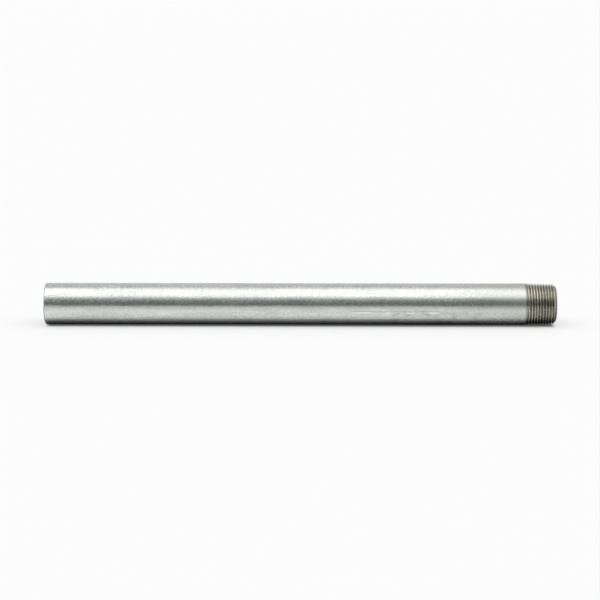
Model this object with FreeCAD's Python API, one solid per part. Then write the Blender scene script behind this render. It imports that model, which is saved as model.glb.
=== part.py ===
"""A steel pipe nipple, threaded at one end: welded pipe, zinc coated inside and out, cut to length.

The pipe's axis is X. The origin is on the axis in the plane of the threaded end's face, and +X points
out of that end, the way a fitting leaves when it is unscrewed. +Z is up when the pipe lies on a table.
The taper thread follows the proportions of the American standard taper pipe thread. Millimetres.
"""

import FreeCAD, Part
import math
import os

from FreeCAD import Vector

INCH = 25.4

# The pipe
LENGTH = 330.2  # overall, 13 inches from the plain end to the threaded end
PIPE_OD = 26.67  # outside diameter of the bare steel, size 3/4
WALL = 2.87  # wall of the bare steel, schedule 40
ZINC = 0.08  # thickness of the hot-dip coat
WELD_WIDTH = 1.6  # width of the seam weld, measured across the wall
SEAM_ANGLE = 194.0  # degrees about +X from +Y: in front, a little below the middle

# The thread
THREADS_PER_INCH = 14.0
TAPER_RATIO = 1.0 / 16.0  # diameter lost per unit of length
TRUNCATION = 0.065  # cut off the sharp crest and root, in pitches
TURNS_LARGE = 1.0  # turns that the thread stands large of the standard's basic size, within its tolerance
RUN_OUT_PITCHES = 1.3  # length over which the cutter's lead leaves the groove at the pipe side, in pitches
CREST_CLEARANCE = 0.04  # how far the cutter's shoulders pass above the crests
START_ANGLE = 338.0  # degrees about +X from +Y, where the groove's middle crosses the end face
BARE_RING = 0.4  # bare steel left between the run-out and the outside coat
SKIM = 0.01  # turned off the steel's radius at the bare ring, which takes the zinc away before threading
SKIM_SLOPE = 0.001  # radius that the skimmed length loses towards the end, per unit of length

# The ends
CHAMFER_SHARE = 0.4  # share of the wall under the root that the threaded end's outer chamfer takes
REAM_SHARE = 0.24  # share of the same wall that the break of each bore edge takes
PLAIN_CHAMFER = 0.5  # 45 degree break of the plain end's outer edge

# The curves of the cutter
POINTS_PER_TURN = 24
TURNS_PER_FACE = 1

PITCH = INCH / THREADS_PER_INCH
STEEL_R = PIPE_OD / 2
STEEL_BORE_R = STEEL_R - WALL
COAT_R = STEEL_R + ZINC
BORE_R = STEEL_BORE_R - ZINC
SHARP_DEPTH = PITCH * math.cos(math.radians(30))
THREAD_DEPTH = SHARP_DEPTH - 2 * TRUNCATION * PITCH
# The standard's own rules for the pitch diameter at the end face and for the length of the whole thread
END_PITCH_D = PIPE_OD - (0.05 * PIPE_OD / INCH + 1.1) * PITCH + TURNS_LARGE * TAPER_RATIO * PITCH
THREAD_LENGTH = (0.8 * PIPE_OD / INCH + 6.8 + 3.47) * PITCH
SOUND_LENGTH = THREAD_LENGTH - RUN_OUT_PITCHES * PITCH
SLOPE = TAPER_RATIO / 2
END_CREST_R = (END_PITCH_D + THREAD_DEPTH) / 2
END_ROOT_R = (END_PITCH_D - THREAD_DEPTH) / 2
SOUND_ROOT_R = END_ROOT_R + SLOPE * SOUND_LENGTH
RUN_OUT_SLOPE = (STEEL_R - SOUND_ROOT_R) / (THREAD_LENGTH - SOUND_LENGTH)
WALL_UNDER_ROOT = END_ROOT_R - STEEL_BORE_R
FACE_R = END_ROOT_R - CHAMFER_SHARE * WALL_UNDER_ROOT
STEEL_REAM = REAM_SHARE * WALL_UNDER_ROOT
STEEL_BREAK = PLAIN_CHAMFER - ZINC
COAT_START = THREAD_LENGTH + BARE_RING


def turned(profile):
    """A solid turned about the pipe's axis from a closed outline of (x, radius) points."""
    points = [Vector(x, 0, r) for x, r in profile]
    outline = Part.makePolygon(points + points[:1])
    return Part.Face(outline).revolve(Vector(0, 0, 0), Vector(1, 0, 0), 360)


def steel_blank():
    """The bare pipe before threading, with its skimmed length, end chamfer and broken bore edges."""
    skim_end_r = STEEL_R - SKIM - SKIM_SLOPE * COAT_START
    cone_length = (skim_end_r - END_CREST_R) / (SLOPE - SKIM_SLOPE)
    chamfer_x = (END_CREST_R - FACE_R) / (1 + SLOPE)
    return turned(
        [
            (0, STEEL_BORE_R + STEEL_REAM),
            (0, FACE_R),
            (-chamfer_x, FACE_R + chamfer_x),
            (-cone_length, END_CREST_R + SLOPE * cone_length),
            (-COAT_START, STEEL_R - SKIM),
            (-COAT_START, STEEL_R),
            (-LENGTH + STEEL_BREAK, STEEL_R),
            (-LENGTH, STEEL_R - STEEL_BREAK),
            (-LENGTH, STEEL_BORE_R + STEEL_REAM),
            (-LENGTH + STEEL_REAM, STEEL_BORE_R),
            (-STEEL_REAM, STEEL_BORE_R),
        ]
    )


def groove_root(depth_in):
    """Radius of the thread's root at a distance in from the end face: the taper, then the run-out."""
    if depth_in <= SOUND_LENGTH:
        return END_ROOT_R + SLOPE * depth_in
    return SOUND_ROOT_R + RUN_OUT_SLOPE * (depth_in - SOUND_LENGTH)


def helical_curve(along, above, first, last):
    """A curve that keeps one place in the groove's cross-section, from the distance first in to last.

    along is the place's distance from the middle of the groove, and above its height over the root.
    """
    turns = (last - first) / PITCH
    count = math.ceil(turns * POINTS_PER_TURN)
    points = []
    for i in range(count + 1):
        depth_in = first + (last - first) * i / count
        angle = math.radians(START_ANGLE) - 2 * math.pi * depth_in / PITCH
        radius = groove_root(depth_in) + above
        points.append(Vector(-depth_in + along, radius * math.cos(angle), radius * math.sin(angle)))
    curve = Part.BSplineCurve()
    curve.interpolate(Points=points, Parameters=[float(i) for i in range(count + 1)])
    return curve


def cutter(first, last):
    """The groove between two distances in from the end face, as a solid with flat ends."""
    root_half = TRUNCATION * PITCH * math.tan(math.radians(30))
    height = THREAD_DEPTH + CREST_CLEARANCE
    top_half = root_half + height * math.tan(math.radians(30))
    corners = [(-root_half, 0), (root_half, 0), (top_half, height), (-top_half, height)]
    curves = [helical_curve(along, above, first, last) for along, above in corners]
    last_knot = curves[0].LastParameter
    faces_along = max(1, math.ceil(last_knot / (POINTS_PER_TURN * TURNS_PER_FACE)))
    stops = [round(last_knot * i / faces_along) for i in range(faces_along + 1)]
    edges = [
        [curve.toShape(start, stop) for start, stop in zip(stops[:-1], stops[1:])]
        for curve in curves
    ]
    faces = []
    for side in range(4):
        for one, other in zip(edges[side], edges[(side + 1) % 4]):
            faces.append(Part.makeRuledSurface(one, other))
    for parameter in (stops[0], stops[-1]):
        ends = [curve.value(parameter) for curve in curves]
        faces.append(Part.Face(Part.makePolygon(ends + ends[:1])))
    shell = Part.makeShell(faces)
    shell.sewShape()
    solid = Part.makeSolid(shell)
    solid.fix(1e-6, 1e-6, 1e-6)
    return solid


def threaded(blank):
    """A blank with the thread cut into it: sound thread first, then the run-out."""
    past_end = THREAD_LENGTH + PITCH / 2
    for first, last in ((-PITCH, SOUND_LENGTH), (SOUND_LENGTH, past_end)):
        blank = blank.cut(cutter(first, last))
    return blank


def seam_slot():
    """The straight bar of space that the seam weld fills, through the wall and along the whole pipe."""
    beyond = 1.0
    bar = Part.makeBox(
        LENGTH + 2 * beyond,
        WELD_WIDTH,
        WALL + 2 * beyond,
        Vector(-LENGTH - beyond, -WELD_WIDTH / 2, STEEL_BORE_R - beyond),
    )
    bar.rotate(Vector(0, 0, 0), Vector(1, 0, 0), SEAM_ANGLE - 90)
    return bar


def outer_coat():
    """The zinc on the outside, from the plain end's broken edge to the bare ring behind the thread."""
    return turned(
        [
            (-COAT_START, STEEL_R),
            (-COAT_START, COAT_R),
            (-LENGTH + PLAIN_CHAMFER, COAT_R),
            (-LENGTH + STEEL_BREAK, STEEL_R),
        ]
    )


def inner_coat():
    """The zinc in the bore, between the two broken edges."""
    coat_ream = STEEL_REAM + ZINC
    return turned(
        [
            (-STEEL_REAM, STEEL_BORE_R),
            (-coat_ream, BORE_R),
            (-LENGTH + coat_ream, BORE_R),
            (-LENGTH + STEEL_REAM, STEEL_BORE_R),
        ]
    )


def build():
    """Every piece of the nipple by name."""
    blank = steel_blank()
    slot = seam_slot()
    return {
        "rolled_steel_wall": threaded(blank.cut(slot)),
        "seam_weld": threaded(blank.common(slot)),
        "zinc_coat_outside": outer_coat(),
        "zinc_coat_inside": inner_coat(),
    }


def main():
    os.makedirs("parts", exist_ok=True)
    for name, shape in build().items():
        shape.exportStep(f"parts/{name}.step")
        box = shape.BoundBox
        print(
            name,
            "valid" if shape.isValid() else "NOT VALID",
            len(shape.Solids),
            "solid(s)",
            f"{shape.Volume:.1f} mm3",
            f"x {box.XMin:.2f}..{box.XMax:.2f}",
        )


main()
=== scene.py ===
"""The looks of a galvanised pipe nipple: cut taper thread, seam weld, zinc skins and a white studio.

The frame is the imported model, in metres: the pipe's axis is X, x = 0 is the threaded end's face and the
plain end is at minus the length. Angles run about +X from +Y, so 180 degrees is the front, -Y.
"""

import math

import bpy
import numpy as np
from mathutils import Matrix, Vector


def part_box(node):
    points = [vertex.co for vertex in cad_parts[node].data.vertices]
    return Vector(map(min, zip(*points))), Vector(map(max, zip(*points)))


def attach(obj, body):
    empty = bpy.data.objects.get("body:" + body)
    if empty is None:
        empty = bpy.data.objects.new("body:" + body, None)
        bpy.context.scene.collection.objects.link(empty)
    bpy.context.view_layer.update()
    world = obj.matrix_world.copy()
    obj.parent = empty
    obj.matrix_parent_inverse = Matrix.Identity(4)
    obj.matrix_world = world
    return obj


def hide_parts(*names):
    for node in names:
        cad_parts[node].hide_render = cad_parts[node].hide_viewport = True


bl_info = {
    "name": "Galvanised Pipe Nipple",
    "version": (1, 0, 0),
    "blender": (4, 5, 0),
    "location": "View3D > Sidebar > Nipple",
    "description": "Builds a galvanised pipe nipple with a cut taper thread around its CAD frame",
    "category": "Object",
}

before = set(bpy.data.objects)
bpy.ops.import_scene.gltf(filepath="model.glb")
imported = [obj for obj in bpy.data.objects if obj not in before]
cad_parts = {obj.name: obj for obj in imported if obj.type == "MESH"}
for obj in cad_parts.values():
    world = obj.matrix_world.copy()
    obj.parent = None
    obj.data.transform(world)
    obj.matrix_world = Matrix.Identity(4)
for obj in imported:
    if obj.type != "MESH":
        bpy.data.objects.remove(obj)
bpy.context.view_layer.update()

MM = 0.001
INCH = 25.4 * MM

# Measured on the frame
LENGTH = -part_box("rolled_steel_wall")[0].x
STEEL_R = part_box("rolled_steel_wall")[1].z
COAT_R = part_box("zinc_coat_outside")[1].z
COAT_START = -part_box("zinc_coat_outside")[1].x
COAT_END = -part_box("zinc_coat_outside")[0].x
BORE_STEEL_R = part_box("zinc_coat_inside")[1].z
REAM = -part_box("zinc_coat_inside")[1].x
ZINC = COAT_R - STEEL_R
PLAIN_BREAK = LENGTH - COAT_END

# Share of the wall under the thread's root that the end chamfer takes off the threaded face
CHAMFER_SHARE = 0.4
COAT_BITE = 0.01 * MM  # how far each zinc skin's hidden wall is sunk in the steel
SHARP_EDGE = math.radians(38)  # faces that meet at more than this keep a crisp edge

# Points round the pipe in each piece's grid
WALL_COLUMNS = 184
WELD_COLUMNS = 7
COAT_COLUMNS = 180


def smooth_step(value, low, high):
    """0 below low, 1 above high, and 3t^2 - 2t^3 between them."""
    t = np.clip((value - low) / (high - low), 0.0, 1.0)
    return t * t * (3.0 - 2.0 * t)


def soft_min(a, b, width):
    """The smaller of a and b, with their crossing rounded over about the given width."""
    return 0.5 * (a + b - np.sqrt((a - b) ** 2 + width**2))


def ripple(points, size, stretch, seed, waves=36):
    """A smooth random field, about -1 to 1: a sum of plane sine waves whose lengths lie round size.

    Along X the waves are stretched by the given factor, which makes lengthwise marks.
    """
    chance = np.random.default_rng(seed)
    way = chance.normal(size=(waves, 3))
    way /= np.linalg.norm(way, axis=1)[:, None]
    way *= (2 * math.pi / size) * chance.uniform(0.6, 1.6, size=(waves, 1))
    way[:, 0] /= stretch
    phase = chance.uniform(0, 2 * math.pi, waves)
    total = np.zeros(points.shape[:-1])
    for k, start in zip(way, phase):
        total += np.sin(points @ k + start)
    return total / math.sqrt(waves)


def on_pipe(depth, angle, radius):
    """Points at a depth in from the threaded face, an angle about the axis and a radius."""
    return np.stack([-depth + 0 * radius, radius * np.cos(angle), radius * np.sin(angle)], axis=-1)


class NippleSizes(bpy.types.PropertyGroup):
    """Sizes of the thread, the weld and the coats' unevenness."""

    pitch: bpy.props.FloatProperty(
        name="Pitch",
        description="Distance from one thread to the next",
        default=INCH / 14,
        unit="LENGTH",
        precision=6,
    )
    taper: bpy.props.FloatProperty(
        name="Taper",
        description="Radius gained per unit of length, away from the threaded face",
        default=1 / 32,
        precision=5,
    )
    truncation: bpy.props.FloatProperty(
        name="Truncation",
        description="Height cut off the sharp crest and root, in pitches",
        default=0.065,
    )
    turns_large: bpy.props.FloatProperty(
        name="Turns large",
        description="Turns that the thread stands large of the standard's basic size",
        default=1.0,
    )
    run_out: bpy.props.FloatProperty(
        name="Run-out",
        description="Length of the thread's run-out, in pitches",
        default=1.3,
    )
    skim: bpy.props.FloatProperty(
        name="Skim",
        description="Depth turned off the steel at the bare ring behind the thread",
        default=0.01 * MM,
        unit="LENGTH",
        precision=6,
    )
    skim_slope: bpy.props.FloatProperty(
        name="Skim slope",
        description="Radius that the skimmed length loses towards the end, per unit of length",
        default=0.001,
        precision=5,
    )
    start_angle: bpy.props.FloatProperty(
        name="Thread start",
        description="Where the groove's middle crosses the threaded face",
        default=math.radians(338),
        subtype="ANGLE",
    )
    seam_angle: bpy.props.FloatProperty(
        name="Seam",
        description="Where the seam weld lies, a little below the middle of the front",
        default=math.radians(194),
        subtype="ANGLE",
    )
    weld_width: bpy.props.FloatProperty(
        name="Weld width",
        description="Width of the seam weld across the wall",
        default=1.6 * MM,
        unit="LENGTH",
        precision=6,
    )
    crest_wear: bpy.props.FloatProperty(
        name="Crest wear",
        description="How unevenly the cutter left the crests",
        default=0.008 * MM,
        unit="LENGTH",
        precision=6,
    )
    coat_wave: bpy.props.FloatProperty(
        name="Coat wave",
        description="Height of the long unevenness of the zinc",
        default=0.006 * MM,
        unit="LENGTH",
        precision=6,
    )
    coat_lip: bpy.props.FloatProperty(
        name="Coat lip",
        description="Height of the bead that the skimming tool pushed up at the zinc's edge",
        default=0.05 * MM,
        unit="LENGTH",
        precision=6,
    )
    bead_height: bpy.props.FloatProperty(
        name="Bore bead",
        description="Height of the trimmed weld flash in the bore",
        default=0.14 * MM,
        unit="LENGTH",
        precision=6,
    )


def colour_property(name, description, default):
    """A colour of a finish, in linear light."""
    return bpy.props.FloatVectorProperty(
        name=name, description=description, default=default, subtype="COLOR", size=3, min=0, max=1
    )


class NippleColours(bpy.types.PropertyGroup):
    """Colours of the finishes, and of the painted shade down in the thread's groove."""

    zinc_light: colour_property("Zinc, light", "Bright grain of the galvanised skin", (0.825, 0.845, 0.81))
    zinc_dark: colour_property("Zinc, dark", "Dull grain of the galvanised skin", (0.42, 0.455, 0.43))
    zinc_dull: colour_property("Zinc, dull", "Zinc that the threading oil has dulled", (0.60, 0.60, 0.55))
    cut_steel: colour_property("Cut steel", "Fresh steel on crests and flanks", (0.68, 0.655, 0.59))
    # Painted shade: the dark colour that the steel takes down in the thread's groove
    groove_shade_steel: colour_property("Root steel", "Oily steel down in the groove", (0.34, 0.335, 0.29))
    weld_steel: colour_property("Weld steel", "Heat-darkened steel of the seam", (0.64, 0.625, 0.57))
    floor: colour_property("Floor", "Paper sweep under the nipple, as the camera sees it", (0.45, 0.45, 0.45))


class NippleStudio(bpy.types.PropertyGroup):
    """Where the camera stands and how bright the studio is."""

    elevation: bpy.props.FloatProperty(
        name="Elevation",
        description="Camera's angle above the floor",
        default=math.radians(12),
        subtype="ANGLE",
    )
    distance: bpy.props.FloatProperty(
        name="Distance", description="From the camera to the pipe's axis", default=1.226, unit="LENGTH"
    )
    lens: bpy.props.FloatProperty(name="Lens", description="Focal length in millimetres", default=113.4)
    aim_up: bpy.props.FloatProperty(
        name="Aim up", description="How far above the axis the camera aims", default=2.46 * MM, unit="LENGTH"
    )
    aim_left: bpy.props.FloatProperty(
        name="Aim left",
        description="How far left of the middle the camera aims",
        default=0.36 * MM,
        unit="LENGTH",
    )
    roll: bpy.props.FloatProperty(
        name="Roll",
        description="Camera's turn about its own axis",
        default=math.radians(0.085),
        subtype="ANGLE",
    )
    strength: bpy.props.FloatProperty(name="Strength", description="Brightness of the studio", default=1.0)
    floor_lift: bpy.props.FloatProperty(
        name="Floor lift", description="Light added to the floor for the camera alone", default=0.505
    )


class Socket:
    """A node's output that reads as a number: + - * / on it add Math nodes."""

    def __init__(self, paint, socket):
        self.paint = paint
        self.socket = socket

    def _sum(self, operation, first, second):
        return self.paint.node("ShaderNodeMath", {"operation": operation}, {0: first, 1: second})

    def __add__(self, other):
        return self._sum("ADD", self, other)

    __radd__ = __add__

    def __sub__(self, other):
        return self._sum("SUBTRACT", self, other)

    def __rsub__(self, other):
        return self._sum("SUBTRACT", other, self)

    def __mul__(self, other):
        return self._sum("MULTIPLY", self, other)

    __rmul__ = __mul__

    def __truediv__(self, other):
        return self._sum("DIVIDE", self, other)


class Paint:
    """A node tree under construction."""

    def __init__(self, tree):
        self.tree = tree
        tree.nodes.clear()

    def node(self, kind, settings, inputs, output=0):
        """Adds a node: its settings first, then the values or links of its inputs. Returns one output."""
        new = self.tree.nodes.new(kind)
        for key, value in settings.items():
            if key == "stops":
                self._stops(new.color_ramp, value)
            else:
                setattr(new, key, value)
        for key, value in inputs.items():
            if isinstance(value, Socket):
                self.tree.links.new(value.socket, new.inputs[key])
            else:
                new.inputs[key].default_value = value
        return Socket(self, new.outputs[output]) if len(new.outputs) else None

    @staticmethod
    def _stops(ramp, stops):
        ramp.interpolation = "LINEAR"
        while len(ramp.elements) < len(stops):
            ramp.elements.new(0.5)
        for element, (place, level) in zip(ramp.elements, stops):
            element.position = place
            element.color = (level, level, level, 1.0)

    def place(self):
        """The point on the piece, as three numbers in metres."""
        spot = self.node("ShaderNodeTexCoord", {}, {}, "Object")
        parts = [self.node("ShaderNodeSeparateXYZ", {}, {0: spot}, axis) for axis in "XYZ"]
        return spot, *parts

    def noise(self, spot, size, stretch=1.0, detail=3.0, rough=0.55):
        """Noise from about 0 to 1, with grains of the given size and stretched along X."""
        scaled = self.node("ShaderNodeMapping", {}, {"Vector": spot, "Scale": (1 / stretch, 1.0, 1.0)})
        values = {"Vector": scaled, "Scale": 1 / size, "Detail": detail, "Roughness": rough}
        return self.node("ShaderNodeTexNoise", {}, values, "Fac")

    def step(self, value, low, high):
        """0 below low and 1 above high, eased between them. low may be the larger, which turns it round."""
        settings = {"interpolation_type": "SMOOTHSTEP"}
        if low > high:
            return 1.0 - self.step(value, high, low)
        return self.node("ShaderNodeMapRange", settings, {"Value": value, "From Min": low, "From Max": high})

    def size_of(self, value):
        return self.node("ShaderNodeMath", {"operation": "ABSOLUTE"}, {0: value})

    def mix(self, factor, first, second):
        """Colour first at factor 0 and second at factor 1."""
        values = {0: factor, 6: (*first, 1) if isinstance(first, tuple) else first}
        values[7] = (*second, 1) if isinstance(second, tuple) else second
        return self.node("ShaderNodeMix", {"data_type": "RGBA", "clamp_factor": True}, values, 2)

    def bump(self, height, distance, strength=1.0, under=None):
        """A normal from a height in metres times distance. under is a normal that it adds to."""
        values = {"Height": height, "Distance": distance, "Strength": strength}
        if under is not None:
            values["Normal"] = under
        return self.node("ShaderNodeBump", {}, values)

    def metal(self, colour, roughness, normal):
        """Ends the tree in a metal surface."""
        values = {"Base Color": colour, "Roughness": roughness, "Normal": normal, "Metallic": 1.0}
        surface = self.node("ShaderNodeBsdfPrincipled", {}, values)
        self.node("ShaderNodeOutputMaterial", {}, {"Surface": surface})


def new_material(name):
    material = bpy.data.materials.new(name)
    material.use_nodes = True
    return material, Paint(material.node_tree)


def plain(colour):
    """A colour property as a plain tuple."""
    return tuple(round(channel, 4) for channel in colour)


def lengthwise_mark(paint, x, angle, where, start, end, width, lean):
    """A mask of a mark that runs along the pipe, turns by its lean over its length and fades at both ends."""
    off = paint.size_of(angle - (x - start) * (lean / (end - start)) - where)
    fade = 4 * MM
    line = paint.step(off, width, width * 0.3)
    inside = paint.step(x, start, start + fade) * paint.step(x, end, end - fade)
    return line * inside


# Marks on the zinc: angle in degrees, where they start and end along X, half width in degrees, strength, and
# the degrees that they turn from start to end
DARK_MARKS = (
    (190.0, -134 * MM, -74 * MM, 1.7, 0.90, 0),
    (149.0, -331 * MM, -311 * MM, 1.3, 1.3, -10.5),
    (169.0, -205 * MM, -120 * MM, 1.0, 0.18, 1),
    (234.0, -300 * MM, -190 * MM, 1.4, 0.25, 2),
)
LIGHT_MARKS = (
    (193.2, -134 * MM, -117 * MM, 2.2, 1.00, 0),
    (193.6, -112 * MM, -106 * MM, 2.4, 0.90, 0),
    (194.3, -99 * MM, -90 * MM, 2.2, 0.90, 0),
    (193.4, -86 * MM, -75 * MM, 2.4, 0.95, 0),
    (128.5, -314.6 * MM, -312.6 * MM, 2.4, 0.70, 0),
    (156.0, -262 * MM, -150 * MM, 1.2, 0.25, 1),
)


def zinc_material(name, colours, seam_angle, inside=False):
    """Galvanised skin: fine bright and dull grain, cloudy patches, and marks drawn along the pipe."""
    material, paint = new_material(name)
    spot, x, y, z = paint.place()
    angle = paint.node("ShaderNodeMath", {"operation": "ARCTAN2"}, {0: z * -1.0, 1: y * -1.0})
    grain = paint.noise(spot, 1.2 * MM, 1.3, 3.0, 0.6)
    speck = paint.noise(spot, 0.5 * MM, 1.0, 2.0, 0.5)
    cloud = paint.noise(spot, 7 * MM, 2.2, 3.0, 0.5)
    streak = paint.noise(spot, 0.8 * MM, 42.0, 4.0, 0.6)
    level = 0.5 + (grain - 0.5) * 1.3 + (speck - 0.5) * 0.8 + (cloud - 0.5) * 0.6 + (streak - 0.5) * 0.7
    marks = 0.0
    for share, table in ((-1.0, DARK_MARKS), (1.0, LIGHT_MARKS)):
        for where, start, end, width, strength, lean in table:
            turn = math.radians(where) - math.pi
            mask = lengthwise_mark(paint, x, angle, turn, start, end, math.radians(width), math.radians(lean))
            marks = marks + mask * (share * strength)
    seam = paint.step(paint.size_of(angle - (seam_angle - math.pi)), math.radians(1.6), math.radians(0.6))
    smudge = paint.step(paint.noise(spot, 4.5 * MM, 1.6, 2.0, 0.5), 0.48, 0.64)
    smudged = paint.step(x, -112 * MM, -100 * MM) * paint.step(x, -36 * MM, -46 * MM)
    smudged = smudged * paint.step(angle, math.radians(9), math.radians(17))
    level = level - smudge * smudged * 0.45
    level = level + marks * 0.8 - seam * 0.08
    dull = paint.step(x, -COAT_START - 60 * MM, -COAT_START - 4 * MM)
    if inside:
        level = level - 0.18
        dull = dull * 0.0
    level = level - dull * 0.22
    colour = paint.mix(level, plain(colours.zinc_dark), plain(colours.zinc_light))
    colour = paint.mix(dull * 0.5, colour, plain(colours.zinc_dull))
    roughness = 0.22 + (grain - 0.5) * 0.16 + (cloud - 0.5) * 0.05 - (streak - 0.5) * 0.06 + dull * 0.06
    fine = paint.bump(grain, 0.014 * MM)
    fine = paint.bump(streak, 0.010 * MM, 1.0, fine)
    normal = paint.bump(marks, 0.003 * MM, 1.0, fine)
    paint.metal(colour, roughness, normal)
    return material


def steel_material(name, sizes, colours, weld=False):
    """Cut steel: warm grey, darker down in the groove as painted shade, and fine marks round the pipe where
    the tool passed.
    """
    material, paint = new_material(name)
    spot, x, y, z = paint.place()
    radius = paint.node("ShaderNodeMath", {"operation": "SQRT"}, {0: y * y + z * z})
    crest = crest_radius(sizes)
    # Painted shade in the thread's groove: the colour goes to the dark groove colour deeper than 0.15 mm
    # under the crests' cone, fully at 0.9 mm
    above = radius - (crest - 0.9 * MM) + x * sizes.taper
    clear_of_groove_shade = paint.step(above, 0.0, 0.75 * MM)
    grain = paint.noise(spot, 0.5 * MM, 0.5, 4.0, 0.6)
    smear = paint.noise(spot, 2.6 * MM, 0.35, 3.0, 0.55)
    rings = paint.noise(spot, 1.6 * MM, 0.05, 2.0, 0.6)
    ring = paint.step(x, -COAT_START + 3.2 * MM, -COAT_START + 1.6 * MM)
    ring = ring * paint.step(x, -COAT_START - 0.6 * MM, -COAT_START)
    on_thread = paint.step(x, -COAT_START - 0.5 * MM, -COAT_START + 1.0 * MM)
    face_marks = paint.noise(paint.node("ShaderNodeCombineXYZ", {}, {0: radius, 1: 0.0, 2: 0.0}), 0.16 * MM)
    off_thread = 1.0 - on_thread * paint.step(x, -0.05 * MM, -0.3 * MM)
    level = clear_of_groove_shade + (grain - 0.5) * 0.5 + (smear - 0.5) * 0.6 + (rings - 0.5) * 0.4 - ring * 0.9
    level = level * (1.0 - off_thread) + off_thread * (0.72 + (face_marks - 0.5) * 0.7 + (grain - 0.5) * 0.5)
    fine = plain(colours.weld_steel if weld else colours.cut_steel)
    colour = paint.mix(level, plain(colours.groove_shade_steel), fine)
    roughness = 0.25 + (grain - 0.5) * 0.14 + (smear - 0.5) * 0.12
    normal = paint.bump(rings, 0.003 * MM)
    normal = paint.bump(face_marks * off_thread, 0.008 * MM, 1.0, normal)
    normal = paint.bump(grain, 0.01 * MM, 1.0, normal)
    paint.metal(colour, roughness, normal)
    return material


def thread_depth(sizes):
    """Height of the cut thread: the sharp 60 degree triangle less the truncation at crest and root."""
    return sizes.pitch * (math.cos(math.radians(30)) - 2 * sizes.truncation)


def pitch_radius(sizes):
    """The standard's pitch radius at the threaded face, plus the taper over the turns it stands large."""
    basic = STEEL_R - (0.05 * 2 * STEEL_R / INCH + 1.1) * sizes.pitch / 2
    return basic + sizes.turns_large * sizes.taper * sizes.pitch


def crest_radius(sizes):
    return pitch_radius(sizes) + thread_depth(sizes) / 2


def root_radius(sizes):
    return pitch_radius(sizes) - thread_depth(sizes) / 2


def thread_length(sizes):
    """The standard's length of the whole thread, with its run-out."""
    return (0.8 * 2 * STEEL_R / INCH + 6.8 + 3.47) * sizes.pitch


def outer_steel(depth, angle, sizes):
    """Radius of the steel's outside at a depth and an angle.

    The blank is the least of the end chamfer's 45 degree cone, the crests' cone and the skimmed cone.
    The groove rises from its root, which climbs with the taper and then faster in the run-out, at 60
    degrees to the axis on both flanks. The surface is the lower of blank and groove, its edges rounded.
    """
    wall_under_root = root_radius(sizes) - BORE_STEEL_R
    face_r = root_radius(sizes) - CHAMFER_SHARE * wall_under_root
    skimmed = STEEL_R - sizes.skim - sizes.skim_slope * (COAT_START - depth)
    blank = np.minimum(crest_radius(sizes) + sizes.taper * depth, skimmed)
    blank = soft_min(blank, face_r + depth, 0.04 * MM)
    end_of_thread = thread_length(sizes)
    sound = end_of_thread - sizes.run_out * sizes.pitch
    sound_root = root_radius(sizes) + sizes.taper * sound
    climb = (STEEL_R - sound_root) / (end_of_thread - sound)
    root = np.where(
        depth < sound, root_radius(sizes) + sizes.taper * depth, sound_root + climb * (depth - sound)
    )
    turns = depth / sizes.pitch - (sizes.start_angle - angle) / (2 * math.pi)
    from_middle = np.abs(turns - np.round(turns)) * sizes.pitch
    flat = sizes.truncation * sizes.pitch * math.tan(math.radians(30))
    over = from_middle - flat
    climbed = 0.5 * (over + np.sqrt(over**2 + (0.03 * MM) ** 2))
    groove = root + climbed / math.tan(math.radians(30))
    threaded = soft_min(blank, groove, 0.03 * MM)
    wear = ripple(on_pipe(depth, angle, blank), 1.7 * MM, 0.4, seed=5)
    torn = ripple(on_pipe(depth, angle, blank), 0.5 * MM, 1.0, seed=8)
    crest_share = smooth_step(threaded - blank, -0.25 * MM, 0.0) * smooth_step(depth, 0.3 * MM, 2 * MM)
    threaded = threaded - crest_share * sizes.crest_wear * (1.0 + 0.7 * wear + 0.5 * torn)
    broken = STEEL_R - np.maximum(0.0, depth - (LENGTH - PLAIN_BREAK))
    return np.where(depth < COAT_START - 0.02 * MM, threaded, broken)


def inner_steel(depth):
    """Radius of the steel's bore: straight, with a 45 degree break of the given length at both ends."""
    from_end = np.minimum(depth, LENGTH - depth)
    return BORE_STEEL_R + np.maximum(0.0, REAM - from_end)


def steel_rows(sizes, middle_angle):
    """Lines of the steel's grid, as depths at the sector's middle angle, and how far each one is turned.

    Along the thread the lines follow the helix, at fixed places across the groove, so that its edges stay
    crisp. The turning fades to nothing over one pitch at the face and over one pitch behind the thread.
    """
    half = np.array([0, 0.03, 0.08, 0.16, 0.25, 0.34, 0.42, 0.465])
    across = np.concatenate([half, [0.5], 1 - half[:0:-1]])
    last = int(COAT_START / sizes.pitch)
    shift = ((sizes.start_angle - middle_angle) / (2 * math.pi)) % 1.0
    helical = (np.arange(-1, last + 1)[:, None] + across[None, :] + shift).ravel()
    first_pitch = np.linspace(0, 1, 33)
    helical = helical[(helical > 1.01) & (helical < last + 0.2)]
    thread = np.concatenate([first_pitch, helical]) * sizes.pitch
    thread = np.sort(np.append(thread, REAM))
    behind = np.linspace(thread[-1] + 0.05 * MM, COAT_START - 0.03 * MM, 5)
    ring = [COAT_START, COAT_START + 0.01 * MM]
    body = np.linspace(COAT_START + 2 * MM, LENGTH - 2 * MM, 24)
    plain_end = [LENGTH - PLAIN_BREAK, LENGTH - REAM, LENGTH]
    depths = np.concatenate([thread, behind, ring, body, plain_end])
    turned = smooth_step(depths, 0, sizes.pitch) * smooth_step(
        depths, COAT_START - 0.1 * MM, COAT_START - 0.1 * MM - sizes.pitch
    )
    return depths, turned


def steel_sector(name, sizes, first_angle, last_angle, columns):
    """The steel between two angles, as a closed solid: outside, bore, both end faces and both cuts."""
    angles = np.linspace(first_angle, last_angle, columns)[None, :]
    middle = (first_angle + last_angle) / 2
    depths, turned = steel_rows(sizes, middle)
    offset = sizes.pitch * (middle - angles) / (2 * math.pi)
    depth = depths[:, None] + turned[:, None] * offset
    outer = on_pipe(depth, angles, outer_steel(depth, angles, sizes))
    inner = on_pipe(depth, angles, inner_steel(depth) + 0 * angles)
    return shell_object(name, outer, inner, closed=False)


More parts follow.
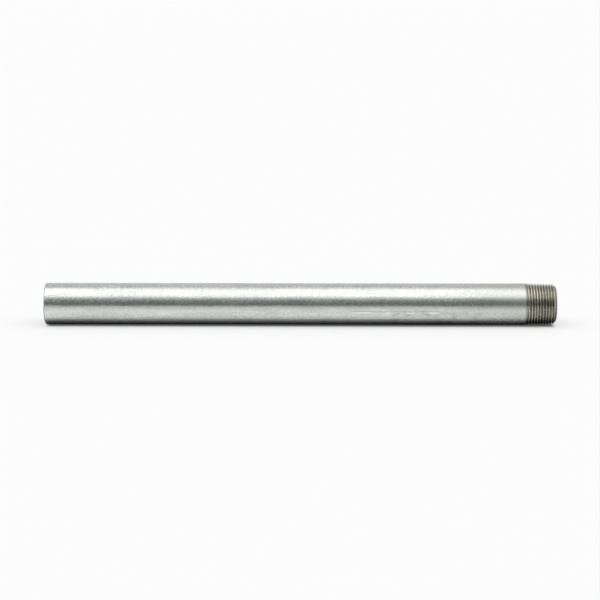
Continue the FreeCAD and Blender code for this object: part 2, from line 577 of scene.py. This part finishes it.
def shell_object(name, outer, inner, closed):
    """A closed solid between two grids of points that share their columns.

    Rows run from the threaded face to the plain end and columns run round the pipe. Where the columns
    go all the way round, closed is true. Where they don't, both grids have as many rows, and the first
    and last columns are walled off.
    """
    columns = outer.shape[1]
    verts = np.concatenate([outer.reshape(-1, 3), inner.reshape(-1, 3)])
    over = np.arange(outer.shape[0] * columns).reshape(outer.shape[:2])
    under = np.arange(inner.shape[0] * columns).reshape(inner.shape[:2]) + over.size
    if closed:
        over = np.concatenate([over, over[:, :1]], axis=1)
        under = np.concatenate([under, under[:, :1]], axis=1)
    quads = [
        grid_quads(over),
        grid_quads(under)[:, ::-1],
        np.stack([over[0, :-1], over[0, 1:], under[0, 1:], under[0, :-1]], axis=-1),
        np.stack([under[-1, :-1], under[-1, 1:], over[-1, 1:], over[-1, :-1]], axis=-1),
    ]
    if not closed:
        quads.append(np.stack([under[:-1, 0], under[1:, 0], over[1:, 0], over[:-1, 0]], axis=-1))
        quads.append(np.stack([over[:-1, -1], over[1:, -1], under[1:, -1], under[:-1, -1]], axis=-1))
    faces = np.concatenate(quads)
    mesh = bpy.data.meshes.new(name)
    mesh.from_pydata(verts.tolist(), [], faces.tolist())
    mesh.polygons.foreach_set("use_smooth", np.ones(len(faces), dtype=bool))
    mesh.set_sharp_from_angle(angle=SHARP_EDGE)
    mesh.update()
    piece = bpy.data.objects.new(name, mesh)
    bpy.context.scene.collection.objects.link(piece)
    return piece


def grid_quads(ids):
    """The quads of a grid of vertex numbers, facing outwards."""
    return np.stack([ids[:-1, :-1], ids[1:, :-1], ids[1:, 1:], ids[:-1, 1:]], axis=-1).reshape(-1, 4)


def finish_piece(piece, material, node):
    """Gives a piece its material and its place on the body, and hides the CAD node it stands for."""
    piece.data.materials.append(material)
    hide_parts(node)
    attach(piece, "root")


class NIPPLE_OT_steel_wall(bpy.types.Operator):
    """Rolled strip with the taper thread cut on it, open along the seam"""

    bl_idname = "nipple.steel_wall"
    bl_label = "Threaded steel wall"

    def execute(self, context):
        sizes, colours = context.scene.nipple_sizes, context.scene.nipple_colours
        half = sizes.weld_width / 2 / STEEL_R
        first, last = sizes.seam_angle + half, sizes.seam_angle + 2 * math.pi - half
        wall = steel_sector("threaded_steel_wall", sizes, first, last, WALL_COLUMNS)
        finish_piece(wall, steel_material("cut_steel", sizes, colours), "rolled_steel_wall")
        return {"FINISHED"}


class NIPPLE_OT_seam_weld(bpy.types.Operator):
    """Welded zone that closes the rolled strip"""

    bl_idname = "nipple.seam_weld"
    bl_label = "Seam weld"

    def execute(self, context):
        sizes, colours = context.scene.nipple_sizes, context.scene.nipple_colours
        half = sizes.weld_width / 2 / STEEL_R
        first, last = sizes.seam_angle - half, sizes.seam_angle + half
        weld = steel_sector("seam_weld_zone", sizes, first, last, WELD_COLUMNS)
        finish_piece(weld, steel_material("weld_steel", sizes, colours, weld=True), "seam_weld")
        return {"FINISHED"}


class NIPPLE_OT_outside_coat(bpy.types.Operator):
    """Galvanised skin from the plain end to the bare ring behind the thread"""

    bl_idname = "nipple.outside_coat"
    bl_label = "Outside zinc"

    def execute(self, context):
        sizes, colours = context.scene.nipple_sizes, context.scene.nipple_colours
        angles = np.linspace(0, 2 * math.pi, COAT_COLUMNS, endpoint=False)[None, :]
        edge = COAT_START + np.array([0, 0.03, 0.08, 0.16, 0.3, 0.5, 0.75, 1.0, 1.3, 1.7]) * MM
        run = np.linspace(COAT_START + 2.5 * MM, COAT_END - 2 * MM, 150)
        tail = COAT_END - np.array([1.0, 0.4, ZINC / MM, 0.0]) * MM
        depth = np.concatenate([edge, run, tail])[:, None]
        coat = coat_thickness(depth, angles, sizes)
        outer = on_pipe(depth + 0 * angles, angles, STEEL_R + coat)
        ends = np.array([COAT_START, COAT_END])[:, None]
        inner = on_pipe(ends + 0 * angles, angles, STEEL_R - COAT_BITE + 0 * ends)
        piece = shell_object("zinc_skin_outside", outer, inner, closed=True)
        material = zinc_material("galvanised_outside", colours, sizes.seam_angle)
        finish_piece(piece, material, "zinc_coat_outside")
        return {"FINISHED"}


def coat_thickness(depth, angles, sizes):
    """Thickness of the outside zinc: even, a little wavy, with a bead at the skimmed edge.

    At the skimmed edge it rounds down over a quarter circle, and at the plain end over 45 degrees.
    """
    points = on_pipe(depth + 0 * angles, angles, STEEL_R + 0 * depth)
    broad = ripple(points, 9 * MM, 3.0, seed=2)
    drawn = ripple(points, 3 * MM, 9.0, seed=3)
    wave = sizes.coat_wave * (0.6 * broad + 0.6 * drawn)
    from_edge = depth - COAT_START
    uneven = 1.0 + 0.5 * ripple(points, 5 * MM, 1.0, seed=4)
    lip = sizes.coat_lip * uneven * np.exp(-(((from_edge - 0.7 * MM) / (0.4 * MM)) ** 2))
    calm = smooth_step(from_edge, 0, 2 * MM) * smooth_step(COAT_END - depth, 0.2 * MM, 2 * MM)
    rounding = np.sqrt(np.clip(1 - (1 - np.clip(from_edge / (0.12 * MM), 0, 1)) ** 2, 0, 1))
    to_tail = np.clip((COAT_END - depth) / ZINC, 0, 1)
    return (ZINC + wave * calm) * np.minimum(rounding, to_tail) + lip * rounding


class NIPPLE_OT_bore_coat(bpy.types.Operator):
    """Galvanised skin of the bore, over the trimmed flash of the weld"""

    bl_idname = "nipple.bore_coat"
    bl_label = "Bore zinc"

    def execute(self, context):
        sizes, colours = context.scene.nipple_sizes, context.scene.nipple_colours
        angles = np.linspace(0, 2 * math.pi, COAT_COLUMNS, endpoint=False)[None, :]
        run = np.linspace(REAM + 1 * MM, LENGTH - REAM - 1 * MM, 120)
        depth = np.concatenate([[REAM, REAM + ZINC], run, [LENGTH - REAM - ZINC, LENGTH - REAM]])[:, None]
        points = on_pipe(depth + 0 * angles, angles, BORE_STEEL_R + 0 * depth)
        wave = 2 * sizes.coat_wave * ripple(points, 4 * MM, 5.0, seed=6)
        across = (np.mod(angles - sizes.seam_angle + math.pi, 2 * math.pi) - math.pi) * BORE_STEEL_R
        uneven = 1 + 0.25 * ripple(points, 3 * MM, 2.0, seed=7)
        bead = sizes.bead_height * np.exp(-((across / (0.7 * MM)) ** 2)) * uneven
        from_end = np.minimum(depth - REAM, LENGTH - REAM - depth)
        thickness = (ZINC + (wave + bead) * smooth_step(from_end, 0, 3 * MM)) * np.clip(from_end / ZINC, 0, 1)
        inner = on_pipe(depth + 0 * angles, angles, BORE_STEEL_R - thickness)
        ends = np.array([REAM, LENGTH - REAM])[:, None]
        outer = on_pipe(ends + 0 * angles, angles, BORE_STEEL_R + COAT_BITE + 0 * ends)
        piece = shell_object("zinc_skin_bore", outer, inner, closed=True)
        material = zinc_material("galvanised_bore", colours, sizes.seam_angle, inside=True)
        finish_piece(piece, material, "zinc_coat_inside")
        return {"FINISHED"}


# The studio round the pipe, by height over the floor in front of it: 0 is level with the floor towards the
# camera's side, 90 is overhead and 180 is level with the floor behind. Brightness 1 is white.
STUDIO = (
    (0, 0.18),
    (14, 0.19),
    (24, 0.25),
    (33, 0.37),
    (40, 0.55),
    (46, 0.90),
    (52, 1.32),
    (58, 1.58),
    (68, 1.66),
    (98, 1.60),
    (105, 1.10),
    (113, 0.82),
    (126, 0.72),
    (150, 0.72),
    (180, 0.82),
)
STUDIO_TOP = 2.0  # brightness that the ramp's white stands for
SIDE_SHARE = 0.9  # brightness of the studio far to the left and right, as a share of the middle's
DARK_ROOM = (0.92, 1.02, 1.03)  # tint of the dark room behind the camera, which the pipe's dark band shows

# Painted shade on the floor, as all but the camera see it, by distance from the line that the nipple lies on:
# dark close under the nipple, palest from 13 to 27 mm out, and darker again further off
FLOOR_REACH = 160 * MM
FLOOR_PAINTED_SHADE = (
    (0.0, 0.10),
    (8 * MM, 0.28),
    (10.5 * MM, 0.55),
    (13 * MM, 1.0),
    (18 * MM, 1.0),
    (27 * MM, 1.0),
    (42 * MM, 0.90),
    (65 * MM, 0.80),
    (110 * MM, 0.70),
    (160 * MM, 0.58),
)
FLOOR_HALF = 8.0  # half the floor's side
PAINTED_SHADOW_SHARE = 0.85  # share of the camera's lift that the painted contact shadow under the nipple takes away


class NIPPLE_OT_stage(bpy.types.Operator):
    """White floor with painted shade under the nipple, soft overhead light, pale backdrop, dark room behind
    the camera, and the camera
    """

    bl_idname = "nipple.stage"
    bl_label = "Stage"

    def execute(self, context):
        scene, studio = context.scene, context.scene.nipple_studio
        scene.view_settings.view_transform = "Standard"
        self.floor(scene, scene.nipple_colours, studio)
        self.world(scene, studio)
        self.camera(scene, studio)
        return {"FINISHED"}

    def floor(self, scene, colours, studio):
        """A level square that the nipple lies on. The camera sees it pale, with a lift of its own, less a
        painted contact shadow under the nipple; all else sees painted shade that darkens it close under the
        nipple.
        """
        half = FLOOR_HALF
        corners = [(-half, -half), (half, -half), (half, half), (-half, half)]
        mesh = bpy.data.meshes.new("floor")
        mesh.from_pydata([(x, y, -COAT_R) for x, y in corners], [], [(0, 1, 2, 3)])
        floor = bpy.data.objects.new("floor", mesh)
        scene.collection.objects.link(floor)
        material, paint = new_material("floor_paper")
        matt = paint.node("ShaderNodeBsdfDiffuse", {}, {"Color": (*plain(colours.floor), 1)})
        _, x, y, _ = paint.place()
        away = paint.size_of(y) / FLOOR_REACH
        # Painted shade: the floor's grey, for all but the camera, goes by distance from the nipple's line
        stops = [(distance / FLOOR_REACH, level) for distance, level in FLOOR_PAINTED_SHADE]
        painted_floor_shade = paint.node("ShaderNodeValToRGB", {"stops": stops}, {0: away})
        mirrored = paint.node("ShaderNodeBsdfDiffuse", {}, {"Color": painted_floor_shade})
        # Painted contact shadow: the camera's lift is taken away in a band under the nipple, along its length
        under = paint.step(paint.size_of(y), 11 * MM, 4 * MM)
        from_middle = paint.size_of(x + LENGTH / 2)
        under = under * paint.step(from_middle, LENGTH / 2 + 0.5 * MM, LENGTH / 2 - 3 * MM)
        lift = (1.0 - under * PAINTED_SHADOW_SHARE) * studio.floor_lift
        glow = paint.node("ShaderNodeEmission", {}, {"Strength": lift})
        seen = paint.node("ShaderNodeAddShader", {}, {0: matt, 1: glow})
        camera_ray = paint.node("ShaderNodeLightPath", {}, {}, "Is Camera Ray")
        surface = paint.node("ShaderNodeMixShader", {}, {0: camera_ray, 1: mirrored, 2: seen})
        paint.node("ShaderNodeOutputMaterial", {}, {"Surface": surface})
        mesh.materials.append(material)

    def world(self, scene, studio):
        """White to the camera. To all else, a studio whose brightness goes by the height round the pipe."""
        world = bpy.data.worlds.new("studio")
        world.use_nodes = True
        scene.world = world
        paint = Paint(world.node_tree)
        way = paint.node("ShaderNodeTexCoord", {}, {}, "Generated")
        x, y, z = (paint.node("ShaderNodeSeparateXYZ", {}, {0: way}, axis) for axis in "XYZ")
        height = paint.node("ShaderNodeMath", {"operation": "ARCTAN2"}, {0: z, 1: y * -1.0})
        stops = [(degrees / 180, level / STUDIO_TOP) for degrees, level in STUDIO]
        level = paint.node("ShaderNodeValToRGB", {"stops": stops}, {0: height / math.pi})
        tint = paint.mix(paint.step(height, math.radians(30), math.radians(46)), DARK_ROOM, (1.0, 1.0, 1.0))
        blend = {"data_type": "RGBA", "blend_type": "MULTIPLY"}
        level = paint.node("ShaderNodeMix", blend, {0: 1.0, 6: level, 7: tint}, 2)
        side = 1.0 - paint.step(paint.size_of(x), 0.3, 0.8) * (1.0 - SIDE_SHARE)
        strength = side * (STUDIO_TOP * studio.strength)
        around = paint.node("ShaderNodeBackground", {}, {"Color": level, "Strength": strength})
        white = paint.node("ShaderNodeBackground", {}, {"Color": (1, 1, 1, 1), "Strength": 1.0})
        camera_ray = paint.node("ShaderNodeLightPath", {}, {}, "Is Camera Ray")
        surface = paint.node("ShaderNodeMixShader", {}, {0: camera_ray, 1: around, 2: white})
        paint.node("ShaderNodeOutputWorld", {}, {"Surface": surface})

    def camera(self, scene, studio):
        """In front of the pipe's middle and above it, looking slightly over the axis."""
        data = bpy.data.cameras.new("camera")
        data.lens = studio.lens
        data.sensor_width = 36
        camera = bpy.data.objects.new("camera", data)
        back = Vector((0, -math.cos(studio.elevation), math.sin(studio.elevation)))
        right = Vector((1, 0, 0))
        up = back.cross(right)
        turn = Matrix((right, up, back)).transposed().to_4x4()
        target = Vector((-LENGTH / 2, 0, 0)) + up * studio.aim_up - right * studio.aim_left
        roll = Matrix.Rotation(studio.roll, 4, "Z")
        camera.matrix_world = Matrix.Translation(target + back * studio.distance) @ turn @ roll
        scene.collection.objects.link(camera)
        scene.camera = camera


OPERATORS = (
    NIPPLE_OT_steel_wall,
    NIPPLE_OT_seam_weld,
    NIPPLE_OT_outside_coat,
    NIPPLE_OT_bore_coat,
    NIPPLE_OT_stage,
)


class NIPPLE_PT_panel(bpy.types.Panel):
    """Lists the nipple's pieces, sizes and colours"""

    bl_label = "Pipe nipple"
    bl_idname = "NIPPLE_PT_panel"
    bl_space_type = "VIEW_3D"
    bl_region_type = "UI"
    bl_category = "Nipple"

    def draw(self, context):
        for operator in OPERATORS:
            self.layout.operator(operator.bl_idname)
        for group in (context.scene.nipple_sizes, context.scene.nipple_colours, context.scene.nipple_studio):
            for name in group.__annotations__:
                self.layout.prop(group, name)


GROUPS = {"nipple_sizes": NippleSizes, "nipple_colours": NippleColours, "nipple_studio": NippleStudio}


def register():
    for kind in (*GROUPS.values(), *OPERATORS, NIPPLE_PT_panel):
        bpy.utils.register_class(kind)
    for name, group in GROUPS.items():
        setattr(bpy.types.Scene, name, bpy.props.PointerProperty(type=group))


def unregister():
    for name in GROUPS:
        delattr(bpy.types.Scene, name)
    for kind in (NIPPLE_PT_panel, *reversed(OPERATORS), *reversed(GROUPS.values())):
        bpy.utils.unregister_class(kind)


def main():
    register()
    for operator in OPERATORS:
        area, _, name = operator.bl_idname.partition(".")
        getattr(getattr(bpy.ops, area), name)()


if __name__ == "__main__":
    main()
